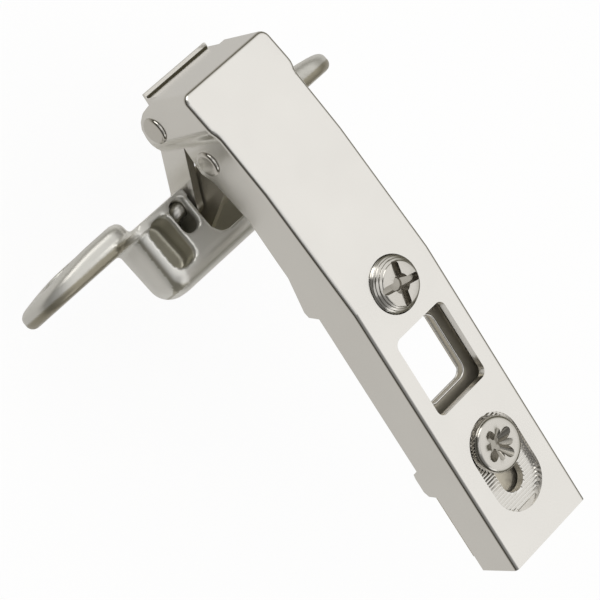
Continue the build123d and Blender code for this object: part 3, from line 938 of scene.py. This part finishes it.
@dataclass
class SoftCup:
    """The cup with the soft edges of a polished casting, with painted shade inside its hollows and along
    its wings' door-side edges.
    """

    origin: tuple[float, float] = (-48.48, -14.10)
    tilt: float = 17.5
    grain: float = 0.27
    softness: float = 0.5
    rounds: int = 4
    weld: float = 0.001
    wing_start: float = 16.0
    wing_full: float = 18.5
    wing_up: float = -9.5
    wing_half: float = 8.6
    tip_middle: float = 24.0
    tip_radius: float = 7.6
    thin_start: float = 20.0
    tip_thinning: float = 0.26
    wing_thick: float = 1.6
    roll: float = 1.3
    wall_up: float = 2.2
    wall_slope: float = 0.096
    hollow_radius: float = 16.5
    hollow_top: float = -1.0
    hollow_floor: float = 9.1
    hollow_fade: tuple[float, float] = (0.6, 1.1)
    # where the painted shade along the wings' door-side edges fades in and out, in mm into the door
    edge_shade_start: tuple[float, float] = (-1.4, -1.1)
    edge_shade_end: tuple[float, float] = (-0.15, -0.05)
    light: Colour = (0.92, 0.91, 0.87)
    # painted shade: the darker colour painted inside the cup's hollows
    dull: Colour = (0.52, 0.50, 0.42)
    wing_light: Colour = (0.76, 0.75, 0.71)
    # painted shade: the dark colour painted along the wings' door-side edges
    wing_edge_shade: Colour = (0.38, 0.35, 0.27)

    def local(self, place: Vector) -> tuple[float, float, float]:
        """Turn a place of the row frame into the cup's own directions.

        Args:
            place: The place in metres.

        Returns:
            Mm across, towards the hinge side and into the door.
        """
        s, c = math.sin(math.radians(self.tilt)), math.cos(math.radians(self.tilt))
        x, z = place.x / MM - self.origin[0], place.z / MM - self.origin[1]
        return place.y / MM, c * z - s * x, c * x + s * z

    def world(self, across: float, up: float, deep: float) -> Vector:
        """Turn the cup's own directions into a place of the row frame.

        Args:
            across: Mm across.
            up: Mm towards the hinge side.
            deep: Mm into the door.

        Returns:
            The place in metres.
        """
        s, c = math.sin(math.radians(self.tilt)), math.cos(math.radians(self.tilt))
        return Vector((self.origin[0] + c * deep - s * up, across, self.origin[1] + s * deep + c * up)) * MM

    def shaped(self, place: Vector) -> Vector:
        """Roll the wings' door-side edges in and thin their tips.

        Args:
            place: A point of the CAD cup in metres.

        Returns:
            Its new place in metres.
        """
        across, up, deep = self.local(place)
        reach = abs(across)
        if reach <= self.wing_start:
            return place
        depth = min(1.0, max(0.0, (deep + self.wing_thick) / self.wing_thick))
        inset = self.roll * (1 - math.sqrt(1 - depth ** 2)) * eased(reach, self.wing_start, self.wing_full)
        up = self.wing_up + (up - self.wing_up) * (1 - inset / self.wing_half)
        tip = max(0.0, reach - self.tip_middle) * (1 - inset / self.tip_radius)
        if deep < 0:
            outward = eased(reach, self.thin_start, self.tip_middle + self.tip_radius)
            deep *= 1 - self.tip_thinning * outward
        return self.world(math.copysign(min(reach, self.tip_middle) + tip, across), up, deep)

    def tone_and_shade(self, place: Vector) -> Colour:
        """Colour of the plating, light outside, with painted shade in the hollows and on the wings' edges.

        Args:
            place: A point of the cup in metres.

        Returns:
            The colour there.
        """
        across, up, deep = self.local(place)
        wing = eased(abs(across), self.wing_start, self.wing_full)
        # painted shade along the wings' door-side edges
        edge = wing * eased(deep, *self.edge_shade_start) * (1 - eased(deep, *self.edge_shade_end))
        wall = self.wall_up - self.wall_slope * deep
        inside = math.hypot(across, up) < self.hollow_radius and self.hollow_top < deep < self.hollow_floor
        # painted shade inside the hollows
        shade_share = eased(wall - up, *self.hollow_fade) if inside else 0.0
        tone_and_shade = Vector(self.light).lerp(Vector(self.dull), shade_share)
        return tuple(tone_and_shade.lerp(Vector(self.wing_light), wing).lerp(Vector(self.wing_edge_shade), edge))

    def build(self, finish: bpy.types.Material) -> None:
        """Soften a copy of the CAD cup and put it in the node's place.

        Args:
            finish: The cup's material, which takes its tones, with their painted shade, from the mesh.
        """
        node = bpy.data.objects["cup"]
        shape = bmesh.new()
        shape.from_mesh(node.data)
        shape.transform(node.matrix_world)
        bmesh.ops.remove_doubles(shape, verts=shape.verts, dist=self.weld * MM)
        piece = settle("cup_detail", shape, finish, "cup_body", 180.0)
        body = piece.modifiers.new("body", "REMESH")
        body.mode = "VOXEL"
        body.voxel_size = self.grain * MM
        body.use_smooth_shade = True
        soft = piece.modifiers.new("soft", "SMOOTH")
        soft.factor = self.softness
        soft.iterations = self.rounds
        applied(piece)
        mesh = piece.data
        if not mesh.materials:
            mesh.materials.append(finish)
        for vertex in mesh.vertices:
            vertex.co = self.shaped(vertex.co)
        # the tones hold the plating colour and the painted shade
        tones = mesh.color_attributes.new("tone_and_shade", "FLOAT_COLOR", "POINT")
        for vertex, spot in zip(mesh.vertices, tones.data):
            spot.color = (*self.tone_and_shade(vertex.co), 1)
        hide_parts("cup")
        log.info("soft cup: %d faces", len(mesh.polygons))


def shade(band: bpy.types.ColorRamp, stops: Sequence[tuple[float, Colour]]) -> None:
    """Fill a colour ramp.

    Args:
        band: The ramp.
        stops: Places from 0 to 1 and their colours, at least two.
    """
    for element, (spot, colour) in zip(band.elements, (stops[0], stops[-1])):
        element.position, element.color = spot, (*colour, 1)
    for spot, colour in stops[1:-1]:
        band.elements.new(spot).color = (*colour, 1)


@dataclass(frozen=True)
class Panel:
    """A square soft light panel: place, point that it faces and side in mm, power in watts."""

    name: str
    at: Point
    look: Point
    side: float
    power: float
    colour: Colour = (1.0, 1.0, 1.0)

    def hang(self) -> None:
        """Hang the panel in the studio."""
        data = bpy.data.lights.new(self.name, "AREA")
        data.shape = "RECTANGLE"
        data.size = data.size_y = self.side * MM
        data.energy = self.power
        data.color = self.colour
        lamp = bpy.data.objects.new(self.name, data)
        away = Vector(self.at) - Vector(self.look)
        aim = away.to_track_quat("Z", "Y").to_matrix().to_4x4()
        lamp.matrix_world = Matrix.Translation(Vector(self.at) * MM) @ aim
        bpy.context.scene.collection.objects.link(lamp)


@dataclass
class Studio:
    """Floor, light and the photograph's camera."""

    eye: Point = (-153.647, -203.273, 318.541)
    right: Point = (0.51282, 0.62971, 0.58351)
    down: Point = (0.8001, -0.59697, -0.05893)
    ahead: Point = (0.31123, 0.49709, -0.80996)
    focal: float = 2911.68
    picture: int = 600
    sensor: float = 36.0
    drop: float = 4.0
    floor_half: float = 3.0
    floor_colour: Colour = (0.9, 0.9, 0.9)
    floor_roughness: float = 0.9
    white: float = 1.03
    white_share: float = 0.9
    glow_share: float = 0.9
    side_dark: float = 0.25
    side_from: float = -0.4
    side_to: float = 0.05
    floor_glow: tuple[tuple[float, Colour], ...] = (
        (0.0, (0.61, 0.595, 0.565)), (0.09, (0.61, 0.595, 0.565)), (0.17, (0.30, 0.28, 0.24)),
        (0.45, (0.14, 0.13, 0.10)), (1.0, (0.08, 0.075, 0.06)))
    room: tuple[tuple[float, Colour], ...] = (
        (0.0, (0.10, 0.095, 0.07)), (0.25, (0.17, 0.16, 0.12)), (0.5, (0.80, 0.79, 0.76)),
        (0.75, (1.0, 0.99, 0.97)))
    panels: tuple[Panel, ...] = (
        Panel("key", at=(-100, -220, 460), look=(-20, 0, 0), side=300, power=0.15),
        Panel("fill", at=(-420, -60, 200), look=(-30, 0, 0), side=240, power=0.3, colour=(1, 0.99, 0.96)),
        Panel("back", at=(420, -120, 260), look=(-20, 0, 0), side=220, power=0.12))

    def camera(self) -> None:
        """Place the camera where the photograph was taken."""
        data = bpy.data.cameras.new("view")
        data.sensor_width = self.sensor
        data.sensor_fit = "HORIZONTAL"
        data.lens = self.sensor * self.focal / self.picture
        data.clip_start = 0.01
        data.clip_end = 20
        lens = bpy.data.objects.new("view", data)
        turn = Matrix((self.right, [-v for v in self.down], [-v for v in self.ahead])).transposed()
        lens.matrix_world = Matrix.Translation(Vector(self.eye) * MM) @ turn.to_4x4()
        bpy.context.scene.collection.objects.link(lens)
        bpy.context.scene.camera = lens

    def floor(self, level: float) -> None:
        """Lay a white floor under the hinge.

        Args:
            level: Height of the floor in metres.
        """
        shape = bmesh.new()
        bmesh.ops.create_grid(shape, x_segments=2, y_segments=2, size=self.floor_half)
        mesh = bpy.data.meshes.new("floor")
        shape.to_mesh(mesh)
        shape.free()
        mesh.materials.append(self.floor_paint())
        ground = bpy.data.objects.new("floor", mesh)
        ground.location = (0, 0, level)
        bpy.context.scene.collection.objects.link(ground)
        ground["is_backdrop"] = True

    def floor_paint(self) -> bpy.types.Material:
        """Make the floor white to the camera and darker with distance in the metal's reflections.

        Returns:
            The floor's material.
        """
        paint = bpy.data.materials.new("floor white")
        paint.use_nodes = True
        tree = paint.node_tree
        shader = tree.nodes["Principled BSDF"]
        shader.inputs["Base Color"].default_value = (*self.floor_colour, 1)
        shader.inputs["Roughness"].default_value = self.floor_roughness
        place = tree.nodes.new("ShaderNodeTexCoord")
        reach = tree.nodes.new("ShaderNodeVectorMath")
        reach.operation = "LENGTH"
        tree.links.new(place.outputs["Object"], reach.inputs[0])
        far = tree.nodes.new("ShaderNodeValToRGB")
        tree.links.new(reach.outputs["Value"], far.inputs["Fac"])
        shade(far.color_ramp, self.floor_glow)
        mirror = add_node(tree, "ShaderNodeEmission", Strength=1.0)
        tree.links.new(far.outputs["Color"], mirror.inputs["Color"])
        white = add_node(tree, "ShaderNodeEmission", Color=(1, 1, 1, 1), Strength=self.white)
        ray = tree.nodes.new("ShaderNodeLightPath")
        share = add_node(tree, "ShaderNodeMapRange", To_Min=0.0, To_Max=self.white_share)
        tree.links.new(ray.outputs["Is Camera Ray"], share.inputs["Value"])
        gloss = add_node(tree, "ShaderNodeMapRange", To_Min=0.0, To_Max=self.glow_share)
        tree.links.new(ray.outputs["Is Glossy Ray"], gloss.inputs["Value"])
        seen = tree.nodes.new("ShaderNodeMixShader")
        tree.links.new(gloss.outputs["Result"], seen.inputs[0])
        tree.links.new(shader.outputs[0], seen.inputs[1])
        tree.links.new(mirror.outputs[0], seen.inputs[2])
        blend = tree.nodes.new("ShaderNodeMixShader")
        tree.links.new(share.outputs["Result"], blend.inputs[0])
        tree.links.new(seen.outputs[0], blend.inputs[1])
        tree.links.new(white.outputs[0], blend.inputs[2])
        tree.links.new(blend.outputs[0], tree.nodes["Material Output"].inputs["Surface"])
        return paint

    def sky(self) -> None:
        """Surround the hinge with a pale room that is darker low down."""
        world = bpy.data.worlds.new("room")
        bpy.context.scene.world = world
        world.use_nodes = True
        tree = world.node_tree
        back = tree.nodes["Background"]
        place = tree.nodes.new("ShaderNodeTexCoord")
        parts = tree.nodes.new("ShaderNodeSeparateXYZ")
        tree.links.new(place.outputs["Generated"], parts.inputs["Vector"])
        ramp = tree.nodes.new("ShaderNodeValToRGB")
        tree.links.new(parts.outputs["Z"], ramp.inputs["Fac"])
        shade(ramp.color_ramp, self.room)
        side = add_node(tree, "ShaderNodeMapRange", From_Min=self.side_from, From_Max=self.side_to,
                        To_Min=self.side_dark, To_Max=1.0)
        tree.links.new(parts.outputs["Y"], side.inputs["Value"])
        dim = tree.nodes.new("ShaderNodeVectorMath")
        dim.operation = "SCALE"
        tree.links.new(ramp.outputs["Color"], dim.inputs[0])
        tree.links.new(side.outputs["Result"], dim.inputs["Scale"])
        ray = tree.nodes.new("ShaderNodeLightPath")
        white = add_node(tree, "ShaderNodeBackground", Color=(1, 1, 1, 1), Strength=1.0)
        blend = tree.nodes.new("ShaderNodeMixShader")
        tree.links.new(ray.outputs["Is Camera Ray"], blend.inputs[0])
        tree.links.new(back.outputs[0], blend.inputs[1])
        tree.links.new(white.outputs[0], blend.inputs[2])
        tree.links.new(dim.outputs["Vector"], back.inputs["Color"])
        tree.links.new(blend.outputs[0], tree.nodes["World Output"].inputs["Surface"])

    def build(self) -> None:
        """Build the whole studio."""
        bpy.context.scene.view_settings.view_transform = "Standard"
        self.camera()
        self.floor(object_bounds()[0][2] - self.drop * MM)
        self.sky()
        for panel in self.panels:
            panel.hang()


def main() -> None:
    """Build the hinge's pieces in order, then the studio."""
    logging.basicConfig(level=logging.INFO, format="%(name)s %(message)s")
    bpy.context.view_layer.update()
    finishes = Finishes()
    dress("arm", finishes.nickel)
    dress("outer_link", finishes.nickel)
    for node in ("adapter", "clamp_nut", "slide_shoe", "inner_link"):
        dress(node, finishes.inner)
    for node in ("neck_washer", "front_spacers", "rear_spacers", "closing_spring", "near_cup_pin",
                 "far_cup_pin"):
        dress(node, finishes.spring)
    for node in ("front_bush", "rear_bush"):
        dress(node, finishes.brass)
    dress("spring_follower", finishes.plastic)
    SoftCup().build(finishes.pressed)
    # the nose seam is a dark strip painted as the shadow in the seam gap
    NoseSeamShadow().build(finishes.seam)
    WindowBead().build(finishes.nickel)
    SideScrew().build(finishes.turned, finishes.recess)
    ClampScrew().build(finishes.turned, finishes.recess)
    RecessTeeth().build(finishes.nickel)
    Rivet("front_rivet", "outer_link_hinge", head_radius=2.0, outer_half=8.5).build(finishes.turned)
    Rivet("rear_rivet", "inner_link_hinge", head_radius=1.9, outer_half=8.0).build(finishes.turned)
    Studio().build()


if __name__ == "__main__":
    main()
